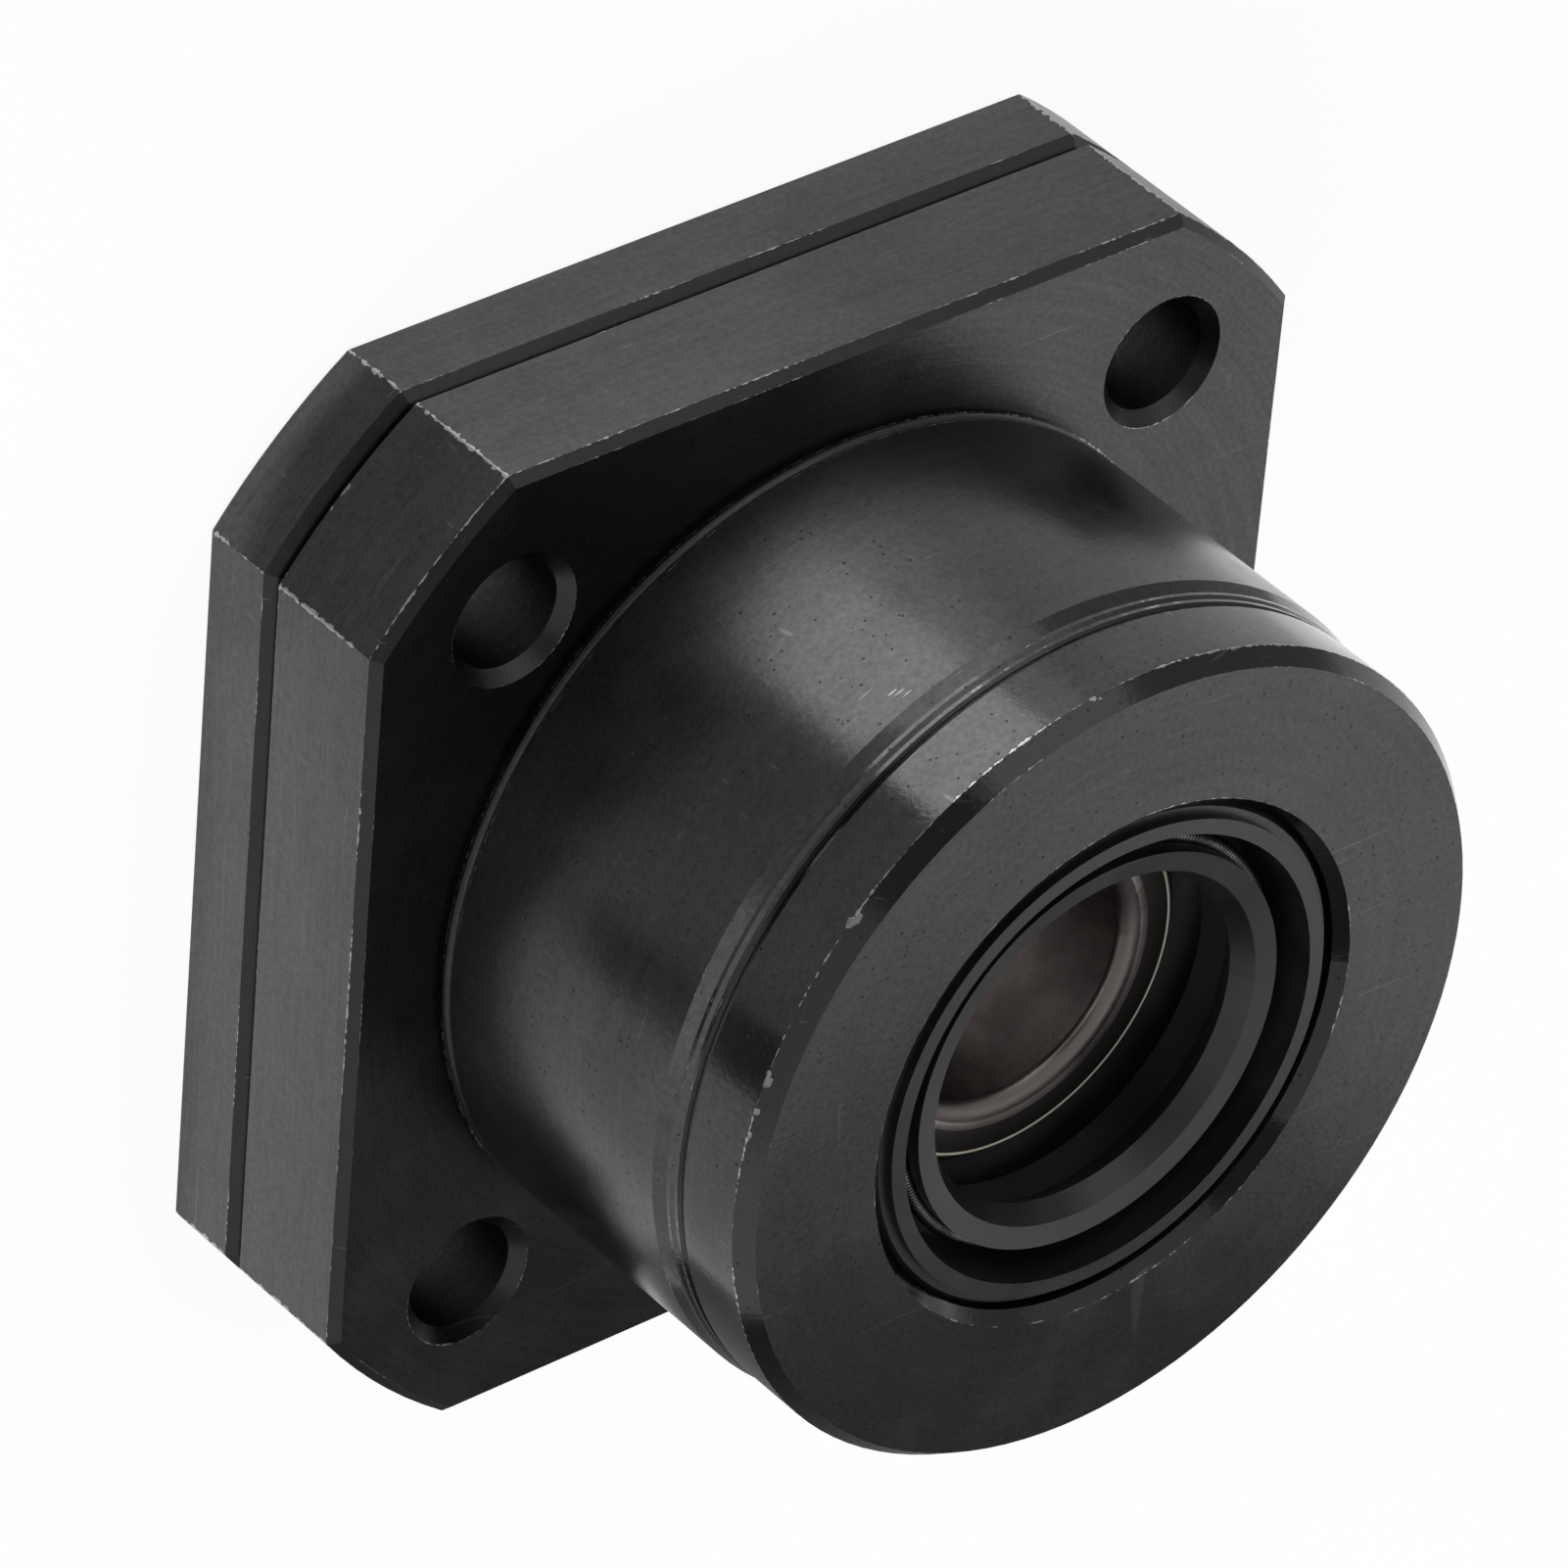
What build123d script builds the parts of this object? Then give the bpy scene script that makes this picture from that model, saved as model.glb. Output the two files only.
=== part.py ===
from build123d import *
import os
from math import radians, tan

# Fixed-side support unit for the end of a ball screw, with two angular contact ball bearings.
# Sizes are in millimetres. Z runs along the bore, from the lid's back face at Z = 0 to the nose
# of the boss, and the four flats of the flange face X and Y.

# Bearings
bearing_bore = 10.0
bearing_outside = 26.0
bearing_width = 8.0
ball_share = 0.59525         # of the height from bore to outside, which gives a 4.762 ball
ball_count = 9
race_clearance = 0.03        # between each ball and its races
groove_depth = 0.661         # how far each shoulder stands above the bottom of its groove
relieved_shoulder_cut = 0.45 # taken off the open side of each outer ring
bore_edge_width = 1.05       # the bore's ends are rounded this far across the ring's face
bore_edge_depth = 0.55       # and this far along the bore
ring_edge_chamfer = 0.15
outside_edge_chamfer = 0.3
ring_end_gap = 0.05          # inner rings stop this far short of the middle
bearing_seat_clearance = 0.01

# Ball cages
cage_side_gap = 0.45         # to the shoulders of both rings
cage_end_gap = 0.6           # to the end faces of the bearing
pocket_clearance = 0.08

# Boss, which centres the unit in its machine plate
boss_wall = 4.0              # between the bearings and the boss's side
relief_depth = 0.2           # turned groove where the boss meets the flange
relief_width = 0.5
relief_root_radius = 0.25
first_taper_length = 0.6     # two turned tapers lead from the boss's side to the groove
first_taper_depth = 0.16
second_taper_length = 0.2
second_taper_depth = 0.07
ridge_width = 0.17           # left straight after each taper
land_step = 0.2              # the land at the nose is this much inside the boss's side
land_length = 3.45
land_groove_depth = 0.12     # below the land
land_groove_fall = 0.1
land_groove_rise = 0.3
nose_chamfer_length = 0.7
nose_chamfer_depth = 0.5

# Mounting holes
mounting_hole = 4.5
mounting_hole_chamfer = 0.5
hole_to_boss = 1.75          # metal left between each hole and the boss
head_step = 1.75             # the lid's pockets for the screw heads are this much wider all round
head_pocket_chamfer = 0.3
corner_wall = 1.0            # left outside each head pocket

# Flange and lid
flange_thickness = 5.65
flange_edge_chamfer = 0.37
lid_thickness = 4.0
lid_edge_chamfer = 0.8       # on the side that meets the flange
lid_back_chamfer = 0.15
clamp_gap = 0.1              # the lid presses on the bearings before it reaches the flange
spigot_clearance = 0.02
spigot_chamfer = 0.25
bore_entry_chamfer = 0.35

# Seal pockets
end_shoulder = 1.0           # wall between each seal pocket and its bearing
shoulder_ledge = 0.75        # that the seal stands on
seal_inset = 2.5             # of the seal's outside from the bearing's
seal_recess = 0.3            # from the end face down to the seal
seal_seat_clearance = 0.01
seal_entry_widening = 0.45   # chamfer at the mouth of each pocket
seal_entry_depth = 0.45

# Lip seals, from the outside inwards
seal_width = 4.2
seal_outer_wall = 1.17
seal_edge_round = 0.22
seal_ledge_width = 0.55      # round the outer wall's top
seal_ledge_depth = 0.35
seal_groove_width = 1.07     # between the outer wall and the lip
seal_floor = 0.9
lip_rim_width = 0.86
lip_overhang = 0.49          # the lip's edge reaches this far inside its rim
lip_reach = 0.84             # and this far inside the hole in the seal's floor
lip_recess = 0.6             # from the seal's outer face down to the lip's rim
lip_rim_fall = 0.15
lip_edge_depth = 1.6
lip_root_depth = 2.8
lip_membrane = 0.42

# Garter springs
spring_coil_diameter = 0.7
spring_stand = 0.15          # of the coil's middle outside the lip
spring_clearance = 0.02

# Lid screws
screw_diameter = 3.0
screw_head_diameter = 6.0
screw_head_rim = 0.25
screw_point_chamfer = 0.4
screw_recess = 0.1
screw_thread_clearance = 0.02
screw_hole_clearance = 0.2
countersink_clearance = 0.12
tapped_hole_spare = 0.4
tapped_hole_cover = 1.5      # from the full depth of each tapped hole to the flange's front face
drill_point_angle = 118.0
socket_across_flats = 2.0
socket_depth = 1.0

# Diameters that follow, from the bearings outwards
boss_diameter = bearing_outside + 2 * boss_wall
mounting_circle = boss_diameter + mounting_hole + 2 * hole_to_boss
head_pocket = mounting_hole + 2 * head_step
corner_diameter = mounting_circle + head_pocket + 2 * corner_wall
flange_width = mounting_circle
screw_circle = (bearing_outside + flange_width) / 2
seal_outside = bearing_outside - 2 * seal_inset
shoulder_opening = seal_outside - 2 * shoulder_ledge

# Heights that follow, from the lid's back face
seal_pocket = seal_width + seal_recess
rear_bearing_start = seal_pocket + end_shoulder
front_bearing_start = rear_bearing_start + bearing_width
front_bearing_end = front_bearing_start + bearing_width
nose = front_bearing_end + end_shoulder + seal_pocket
flange_back = lid_thickness + clamp_gap
flange_front = flange_back + flange_thickness
tapped_hole_bottom = flange_front - tapped_hole_cover
screw_tip = tapped_hole_bottom - tapped_hole_spare

# Inside each bearing
ball_radius = ball_share * (bearing_outside - bearing_bore) / 4
ball_circle_radius = (bearing_bore + bearing_outside) / 4
shoulder_offset = ball_radius + race_clearance - groove_depth
inner_shoulder = ball_circle_radius - shoulder_offset
outer_shoulder = ball_circle_radius + shoulder_offset

# Inside each seal, as radii
groove_wall = seal_outside / 2 - seal_outer_wall
lip_outside = groove_wall - seal_groove_width
lip_mouth = lip_outside - lip_rim_width
lip_edge = lip_mouth - lip_overhang
seal_hole = lip_edge + lip_reach
spring_circle_radius = lip_outside + spring_stand
lip_edge_height = seal_width - lip_edge_depth


def turned(*corners):
    """Solid of revolution about Z from the (radius, height) corners of its outline."""
    outline = Polyline(*corners, close=True)
    return revolve(Plane.XZ * make_face(outline), Axis.Z)


def plate(thickness):
    """Square plate whose four corners lie on one circle, standing on Z = 0."""
    outline = Rectangle(flange_width, flange_width) & Circle(corner_diameter / 2)
    return extrude(outline, thickness)


def rim_edges(solid, side):
    """Outer edges of a plate's top (side -1) or bottom (side 0) face."""
    return solid.faces().sort_by(Axis.Z)[side].outer_wire().edges()


def on_corners(cutter):
    """The cutter at each of the four mounting holes."""
    return [location * cutter for location in PolarLocations(mounting_circle / 2, 4, start_angle=45)]


def on_sides(piece):
    """The piece at each of the four lid screws, midway between the mounting holes."""
    return [location * piece for location in PolarLocations(screw_circle / 2, 4)]


def seal_mouth():
    """Cutter for a seal pocket, with its mouth at Z = 0 and its floor below."""
    radius = seal_outside / 2 + seal_seat_clearance
    return turned(
        (0, 0),
        (radius + seal_entry_widening, 0),
        (radius, -seal_entry_depth),
        (radius, -seal_pocket),
        (0, -seal_pocket),
    )


def boss():
    """Turned boss with its root groove, two tapers, land with a groove behind it, and nose chamfer."""
    radius = boss_diameter / 2
    groove = radius - relief_depth
    land = radius - land_step
    land_start = nose - land_length
    land_groove = land_start - land_groove_rise
    second_ridge = land_groove - land_groove_fall - ridge_width
    first_ridge = second_ridge - second_taper_length - ridge_width
    first_radius = radius - first_taper_depth
    second_radius = first_radius - second_taper_depth
    root = flange_front + relief_root_radius
    side = Polyline(
        (groove, root),
        (groove, flange_front + relief_width - relief_depth),
        (radius, flange_front + relief_width),
        (radius, first_ridge - first_taper_length),
        (first_radius, first_ridge),
        (first_radius, first_ridge + ridge_width),
        (second_radius, second_ridge),
        (second_radius, second_ridge + ridge_width),
        (land - land_groove_depth, land_groove),
        (land, land_start),
        (land, nose - nose_chamfer_length),
        (land - nose_chamfer_depth, nose),
        (0, nose),
        (0, flange_back),
        (groove + relief_root_radius, flange_back),
        (groove + relief_root_radius, flange_front),
    )
    fillet_centre = (groove + relief_root_radius, root)
    root_arc = CenterArc(fillet_centre, relief_root_radius, 180, 90)
    return revolve(Plane.XZ * make_face([side, root_arc]), Axis.Z)


def bearing_bore_cutter():
    """Bearing bore from the flange's back face up to the shoulder, then the smaller opening."""
    radius = bearing_outside / 2 + bearing_seat_clearance
    opening = shoulder_opening / 2
    return turned(
        (0, flange_back),
        (radius + bore_entry_chamfer, flange_back),
        (radius, flange_back + bore_entry_chamfer),
        (radius, front_bearing_end),
        (opening, front_bearing_end),
        (opening, nose),
        (0, nose),
    )


def mounting_hole_cutter():
    """Through hole in the flange, chamfered where it opens beside the boss."""
    radius = mounting_hole / 2
    return turned(
        (0, flange_back),
        (radius, flange_back),
        (radius, flange_front - mounting_hole_chamfer),
        (radius + mounting_hole_chamfer, flange_front),
        (0, flange_front),
    )


def tapped_hole_cutter():
    """Blind hole for one lid screw, ending in the cone that the drill leaves."""
    radius = screw_diameter / 2 + screw_thread_clearance
    point = tapped_hole_bottom + radius / tan(radians(drill_point_angle / 2))
    return turned((0, flange_back), (radius, flange_back), (radius, tapped_hole_bottom), (0, point))


def housing():
    """Flange and boss, turned and milled from one piece."""
    flange = plate(flange_thickness)
    flange = chamfer(rim_edges(flange, -1), flange_edge_chamfer)
    body = Pos(0, 0, flange_back) * flange + boss()
    body -= bearing_bore_cutter()
    body -= Pos(0, 0, nose) * seal_mouth()
    body -= on_corners(mounting_hole_cutter())
    body -= on_sides(tapped_hole_cutter())
    return body


def countersink_cutter():
    """Clearance hole through the lid with a right-angled countersink at the back face."""
    hole = screw_diameter / 2 + screw_hole_clearance
    head = screw_head_diameter / 2 + countersink_clearance
    rim = screw_recess + screw_head_rim
    return turned(
        (0, 0),
        (head, 0),
        (head, rim),
        (hole, rim + head - hole),
        (hole, lid_thickness),
        (0, lid_thickness),
    )


def head_pocket_cutter():
    """Pocket through the lid for the head of one mounting screw."""
    radius = head_pocket / 2
    return turned(
        (0, 0),
        (radius + head_pocket_chamfer, 0),
        (radius, head_pocket_chamfer),
        (radius, lid_thickness),
        (0, lid_thickness),
    )


def lid():
    """Rear lid: its spigot enters the bearing bore and clamps the outer rings."""
    cover = plate(lid_thickness)
    cover = chamfer(rim_edges(cover, -1), lid_edge_chamfer)
    cover = chamfer(rim_edges(cover, 0), lid_back_chamfer)
    spigot = bearing_outside / 2 - spigot_clearance
    cover += turned(
        (0, 0),
        (spigot, 0),
        (spigot, rear_bearing_start - spigot_chamfer),
        (spigot - spigot_chamfer, rear_bearing_start),
        (0, rear_bearing_start),
    )
    opening = shoulder_opening / 2
    cover -= turned((0, 0), (opening, 0), (opening, rear_bearing_start), (0, rear_bearing_start))
    cover -= Rot(180, 0, 0) * seal_mouth()
    cover -= on_corners(head_pocket_cutter())
    cover -= on_sides(countersink_cutter())
    return cover


def lid_screw():
    """Countersunk screw with a hexagon socket, head down."""
    radius = screw_diameter / 2
    head = screw_head_diameter / 2
    top = screw_recess
    rim = top + screw_head_rim
    screw = turned(
        (0, top),
        (head, top),
        (head, rim),
        (radius, rim + head - radius),
        (radius, screw_tip - screw_point_chamfer),
        (radius - screw_point_chamfer, screw_tip),
        (0, screw_tip),
    )
    socket = RegularPolygon(socket_across_flats / 2, 6, major_radius=False)
    return screw - Pos(0, 0, top) * extrude(socket, socket_depth)


def lip_seal():
    """Rubber lip seal standing on its floor, with its open side and spring groove upwards."""
    outside = seal_outside / 2
    ledge = seal_width - seal_ledge_depth
    rim = seal_width - lip_recess
    root = seal_width - lip_root_depth
    body = turned(
        (seal_hole, 0),
        (outside, 0),
        (outside, ledge - seal_edge_round),
        (outside - seal_edge_round, ledge),
        (outside - seal_ledge_width, ledge),
        (outside - seal_ledge_width, seal_width),
        (groove_wall, seal_width),
        (groove_wall, seal_floor),
        (seal_hole + lip_membrane, seal_floor),
        (seal_hole + lip_membrane, root),
        (lip_outside, lip_edge_height),
        (lip_outside, rim),
        (lip_mouth, rim - lip_rim_fall),
        (lip_edge, lip_edge_height),
        (seal_hole, root),
    )
    spring_seat = Torus(spring_circle_radius, spring_coil_diameter / 2 + spring_clearance)
    return body - Pos(0, 0, lip_edge_height) * spring_seat


def garter_spring():
    """Ring spring round the lip, as the plain ring that its coils fill."""
    return Pos(0, 0, lip_edge_height) * Torus(spring_circle_radius, spring_coil_diameter / 2)


def race_cutter():
    """Ring groove that the balls run in, centred on the ball circle at Z = 0."""
    return Torus(ball_circle_radius, ball_radius + race_clearance)


def inner_ring():
    """Inner ring from Z = 0 at its outer face to just short of the pair's middle."""
    bore = bearing_bore / 2
    face = bore + bore_edge_width
    end = bearing_width - ring_end_gap
    outline = [
        Polyline(
            (face, 0),
            (inner_shoulder - ring_edge_chamfer, 0),
            (inner_shoulder, ring_edge_chamfer),
            (inner_shoulder, end - ring_edge_chamfer),
            (inner_shoulder - ring_edge_chamfer, end),
            (face, end),
        ),
        EllipticalCenterArc(
            (face, end - bore_edge_depth),
            x_radius=bore_edge_width,
            y_radius=bore_edge_depth,
            start_angle=90,
            arc_size=90,
        ),
        Line((bore, end - bore_edge_depth), (bore, bore_edge_depth)),
        EllipticalCenterArc(
            (face, bore_edge_depth),
            x_radius=bore_edge_width,
            y_radius=bore_edge_depth,
            start_angle=180,
            arc_size=90,
        ),
    ]
    ring = revolve(Plane.XZ * make_face(outline), Axis.Z)
    return ring - Pos(0, 0, bearing_width / 2) * race_cutter()


def outer_ring():
    """Outer ring with its high shoulder at Z = 0 and the relieved one at the pair's middle."""
    outside = bearing_outside / 2
    relieved = outer_shoulder + relieved_shoulder_cut
    middle = bearing_width / 2
    ring = turned(
        (outer_shoulder + ring_edge_chamfer, 0),
        (outside - outside_edge_chamfer, 0),
        (outside, outside_edge_chamfer),
        (outside, bearing_width - outside_edge_chamfer),
        (outside - outside_edge_chamfer, bearing_width),
        (relieved, bearing_width),
        (relieved, middle),
        (outer_shoulder, middle),
        (outer_shoulder, ring_edge_chamfer),
    )
    return ring - Pos(0, 0, middle) * race_cutter()


def ball_places():
    """Centre of each ball in its bearing."""
    middle = Pos(0, 0, bearing_width / 2)
    return [middle * location for location in PolarLocations(ball_circle_radius, ball_count)]


def cage():
    """Moulded ring with a round pocket for each ball."""
    inside = inner_shoulder + cage_side_gap
    outside = outer_shoulder - cage_side_gap
    end = bearing_width - cage_end_gap
    ring = turned((inside, cage_end_gap), (outside, cage_end_gap), (outside, end), (inside, end))
    pocket = Rot(0, 90, 0) * Cylinder(ball_radius + pocket_clearance, 2 * (outside - inside))
    ring -= [place * pocket for place in ball_places()]
    return ring


def bearing(name):
    """The pieces of one bearing, from Z = 0 at its outer face."""
    pieces = {
        name + "_outer_ring": outer_ring(),
        name + "_inner_ring": inner_ring(),
        name + "_cage": cage(),
    }
    for number, place in enumerate(ball_places(), start=1):
        pieces[f"{name}_ball_{number}"] = place * Sphere(ball_radius)
    return pieces


def seal_set(name):
    """One lip seal with its garter spring."""
    return {name + "_seal": lip_seal(), name + "_garter_spring": garter_spring()}


# The rear bearing and seal stand as drawn or turned over so that each seal opens outwards
# and each bearing's high shoulder is pressed from its own end of the housing.
rear_bearing_place = Pos(0, 0, rear_bearing_start)
front_bearing_place = Pos(0, 0, front_bearing_end) * Rot(180, 0, 0)
rear_seal_place = Pos(0, 0, seal_pocket) * Rot(180, 0, 0)
front_seal_place = Pos(0, 0, nose - seal_pocket)

parts = {"housing": housing(), "lid": lid()}
for number, screw in enumerate(on_sides(lid_screw()), start=1):
    parts[f"lid_screw_{number}"] = screw
for pieces, place in (
    (seal_set("front"), front_seal_place),
    (seal_set("rear"), rear_seal_place),
    (bearing("front"), front_bearing_place),
    (bearing("rear"), rear_bearing_place),
):
    for name, piece in pieces.items():
        parts[name] = place * piece

os.makedirs("parts", exist_ok=True)
for name, piece in parts.items():
    export_step(piece, f"parts/{name}.step")
    print(name, round(piece.volume, 1))
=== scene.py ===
from math import cos, pi, radians, sin

import bmesh
import bpy
from mathutils import Matrix, Vector


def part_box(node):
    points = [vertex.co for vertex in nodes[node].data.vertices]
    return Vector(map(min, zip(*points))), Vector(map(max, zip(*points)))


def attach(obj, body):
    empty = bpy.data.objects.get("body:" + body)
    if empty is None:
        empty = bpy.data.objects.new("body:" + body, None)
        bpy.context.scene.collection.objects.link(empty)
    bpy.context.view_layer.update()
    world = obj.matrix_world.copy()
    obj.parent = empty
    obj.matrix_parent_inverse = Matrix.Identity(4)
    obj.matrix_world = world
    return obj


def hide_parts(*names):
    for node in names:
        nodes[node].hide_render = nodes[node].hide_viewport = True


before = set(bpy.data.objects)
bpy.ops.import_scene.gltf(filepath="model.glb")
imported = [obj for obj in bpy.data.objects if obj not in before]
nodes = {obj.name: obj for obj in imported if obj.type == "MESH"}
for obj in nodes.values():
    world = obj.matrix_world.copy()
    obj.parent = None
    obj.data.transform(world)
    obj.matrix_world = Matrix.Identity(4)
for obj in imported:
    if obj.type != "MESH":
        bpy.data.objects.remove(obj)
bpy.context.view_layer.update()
mm = 0.001
print("frame loaded,", len(nodes), "nodes")


# camera, at the photograph's place
photoCamera = {
    "place": (-248.016 * mm, 274.935 * mm, 289.515 * mm),
    "right": (0.78159812, 0.07037715, 0.61979952),
    "up": (0.32315991, 0.80419558, -0.49883578),
    "back": (-0.53354667, 0.59018346, 0.60581468),
    "lens": 292.381,
    "sensor": 36.0,
}


def makeCamera():
    data = bpy.data.cameras.new("photoCamera")
    data.lens = photoCamera["lens"]
    data.sensor_width = photoCamera["sensor"]
    data.clip_start = 0.02
    data.clip_end = 20
    camera = bpy.data.objects.new("photoCamera", data)
    bpy.context.scene.collection.objects.link(camera)
    axes = Matrix((photoCamera["right"], photoCamera["up"], photoCamera["back"])).transposed()
    camera.matrix_world = Matrix.Translation(photoCamera["place"]) @ axes.to_4x4()
    bpy.context.scene.camera = camera


makeCamera()
bpy.context.scene.view_settings.view_transform = "Standard"
print("camera placed")


# small helpers for node trees
def feed(tree, value, socket):
    if isinstance(value, bpy.types.NodeSocket):
        tree.links.new(value, socket)
    else:
        socket.default_value = value


def calc(tree, operation, *values, clamp=False):
    made = tree.nodes.new("ShaderNodeMath")
    made.operation = operation
    made.use_clamp = clamp
    for value, socket in zip(values, made.inputs):
        feed(tree, value, socket)
    return made.outputs[0]


def lengthOf(tree, first, second):
    squares = calc(tree, "MULTIPLY", first, first), calc(tree, "MULTIPLY", second, second)
    return calc(tree, "SQRT", calc(tree, "ADD", *squares))


def remap(tree, value, low, high, outLow=0.0, outHigh=1.0):
    made = tree.nodes.new("ShaderNodeMapRange")
    made.interpolation_type = "SMOOTHSTEP"
    for number, item in enumerate((value, low, high, outLow, outHigh)):
        feed(tree, item, made.inputs[number])
    return made.outputs[0]


def blendColour(tree, share, first, second, kind="MIX"):
    made = tree.nodes.new("ShaderNodeMix")
    made.data_type = "RGBA"
    made.blend_type = kind
    feed(tree, share, made.inputs["Factor"])
    feed(tree, first, made.inputs[6])
    feed(tree, second, made.inputs[7])
    return made.outputs[2]


def vectorOf(tree, *parts):
    made = tree.nodes.new("ShaderNodeCombineXYZ")
    for part, socket in zip(parts, made.inputs):
        feed(tree, part, socket)
    return made.outputs[0]


def noise(tree, vector, scale, detail=2.0, roughness=0.5):
    made = tree.nodes.new("ShaderNodeTexNoise")
    feed(tree, vector, made.inputs["Vector"])
    made.inputs["Scale"].default_value = scale
    made.inputs["Detail"].default_value = detail
    made.inputs["Roughness"].default_value = roughness
    return made.outputs["Fac"]


def splitXyz(tree, vector):
    made = tree.nodes.new("ShaderNodeSeparateXYZ")
    feed(tree, vector, made.inputs[0])
    return made.outputs


def newGroup(name, ins, outs):
    tree = bpy.data.node_groups.new(name, "ShaderNodeTree")
    for label, kind, value in ins:
        socket = tree.interface.new_socket(label, in_out="INPUT", socket_type=kind)
        if value is not None:
            socket.default_value = value
    for label, kind in outs:
        tree.interface.new_socket(label, in_out="OUTPUT", socket_type=kind)
    return tree, tree.nodes.new("NodeGroupInput").outputs, tree.nodes.new("NodeGroupOutput").inputs


def useGroup(tree, group, **values):
    made = tree.nodes.new("ShaderNodeGroup")
    made.node_tree = group
    for label, value in values.items():
        feed(tree, value, made.inputs[label])
    return made.outputs


floatSocket, vectorSocket = "NodeSocketFloat", "NodeSocketVector"


# fine tool marks: along the flats on the milled sides, round the axis on everything turned
toolLines = {
    "wall": 0.15,              # steeper than this by the normal's height, only z counts
    "radialPitch": 1.7,        # line spacing on faces against that on walls
    "broadPitch": 0.22,
    "broadAlong": 0.5,
}


def makeToolMarks():
    tree, given, out = newGroup(
        "toolMarks",
        [("Position", vectorSocket, None), ("Normal", vectorSocket, None),
         ("Fine", floatSocket, 7000.0), ("Along", floatSocket, 90.0)],
        [("Fine Lines", floatSocket), ("Broad Lines", floatSocket)],
    )
    x, y, z = splitXyz(tree, given["Position"])
    slope = calc(tree, "ABSOLUTE", splitXyz(tree, given["Normal"])[2])
    radius = lengthOf(tree, x, y)
    radial = calc(tree, "MULTIPLY", radius, calc(tree, "GREATER_THAN", slope, toolLines["wall"]))
    across = calc(tree, "MULTIPLY_ADD", radial, toolLines["radialPitch"], z)
    broad = ("Broad Lines", toolLines["broadPitch"], toolLines["broadAlong"])
    for label, pitch, along in (("Fine Lines", 1.0, 1.0), broad):
        fine = calc(tree, "MULTIPLY", given["Fine"], pitch)
        low = calc(tree, "MULTIPLY", given["Along"], along)
        stretched = [calc(tree, "MULTIPLY", part, scale) for part, scale in ((x, low), (y, low), (across, fine))]
        tree.links.new(noise(tree, vectorOf(tree, *stretched), 1.0, 1.0, 0.6), out[label])
    return tree


# how far bare metal reaches from an edge, in patches
def makeWearPattern():
    tree, given, out = newGroup(
        "wearPattern",
        [("Position", vectorSocket, None), ("Patch", floatSocket, 260.0), ("Nibble", floatSocket, 3800.0)],
        [("Patches", floatSocket), ("Nibbles", floatSocket)],
    )
    for label, scale, detail in (("Patches", given["Patch"], 3.0), ("Nibbles", given["Nibble"], 1.0)):
        scaled = tree.nodes.new("ShaderNodeVectorMath")
        scaled.operation = "SCALE"
        tree.links.new(given["Position"], scaled.inputs[0])
        tree.links.new(scale, scaled.inputs["Scale"])
        tree.links.new(noise(tree, scaled.outputs[0], 1.0, detail, 0.65), out[label])
    return tree


# bright bare metal along one edge, given by two distances and where the edge lies in them
bareEdge = {
    "threshold": 0.62,         # patches above this are bare
    "fade": 0.22,
    "reach": 2.4,              # widths that the bare metal reaches at most
    "dots": (2.6, -0.9),       # contrast that breaks the line into a row of dots
    "softness": 0.02 * mm,
}


def makeEdgeWear():
    tree, given, out = newGroup(
        "edgeWear",
        [("Patches", floatSocket, 0.5), ("Nibbles", floatSocket, 0.5),
         ("Across", floatSocket, 0.0), ("Edge Across", floatSocket, 0.0),
         ("Height", floatSocket, 0.0), ("Edge Height", floatSocket, 0.0),
         ("Width", floatSocket, 0.00005), ("Amount", floatSocket, 0.5)],
        [("Mask", floatSocket)],
    )
    a = calc(tree, "SUBTRACT", given["Across"], given["Edge Across"])
    b = calc(tree, "SUBTRACT", given["Height"], given["Edge Height"])
    away = lengthOf(tree, a, b)
    level = calc(tree, "MULTIPLY_ADD", given["Amount"], 0.5, given["Patches"])
    level = calc(tree, "SUBTRACT", level, bareEdge["threshold"])
    widest = calc(tree, "MULTIPLY", given["Width"], bareEdge["reach"])
    reach = calc(tree, "MULTIPLY", remap(tree, level, 0.0, bareEdge["fade"]), widest)
    grain = calc(tree, "MULTIPLY_ADD", given["Nibbles"], *bareEdge["dots"])
    edge = calc(tree, "SUBTRACT", calc(tree, "MULTIPLY", reach, grain), away)
    tree.links.new(remap(tree, edge, 0.0, bareEdge["softness"]), out["Mask"])
    return tree


# one dent at a given spot; the position comes in stretched along z, so the dent is wider than high
def makeNick():
    tree, given, out = newGroup(
        "nick",
        [("Position", vectorSocket, None), ("Ragged", floatSocket, 1.0), ("Spot", vectorSocket, None),
         ("Reach", floatSocket, 0.0003)],
        [("Mask", floatSocket)],
    )
    away = tree.nodes.new("ShaderNodeVectorMath")
    away.operation = "DISTANCE"
    tree.links.new(given["Position"], away.inputs[0])
    tree.links.new(given["Spot"], away.inputs[1])
    reach = calc(tree, "MULTIPLY", given["Reach"], given["Ragged"])
    inside = calc(tree, "SUBTRACT", reach, away.outputs["Value"])
    tree.links.new(calc(tree, "MULTIPLY", inside, 15000.0, clamp=True), out["Mask"])
    return tree


# pits, hairline scratches and smudges from handling
handMarks = {
    "pitSize": 0.20,           # in cells of the pit pattern
    "pitEdge": 0.04,
    # turn and stretch of each set of scratches
    "scratches": (((0.3, 0.9, 0.5), (90, 5200, 700)), ((1.2, 0.2, 1.0), (700, 70, 5600))),
    "scratchFrom": 0.75,
    "scratchTo": 0.79,
    "smudgeScale": 170.0,
}


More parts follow.
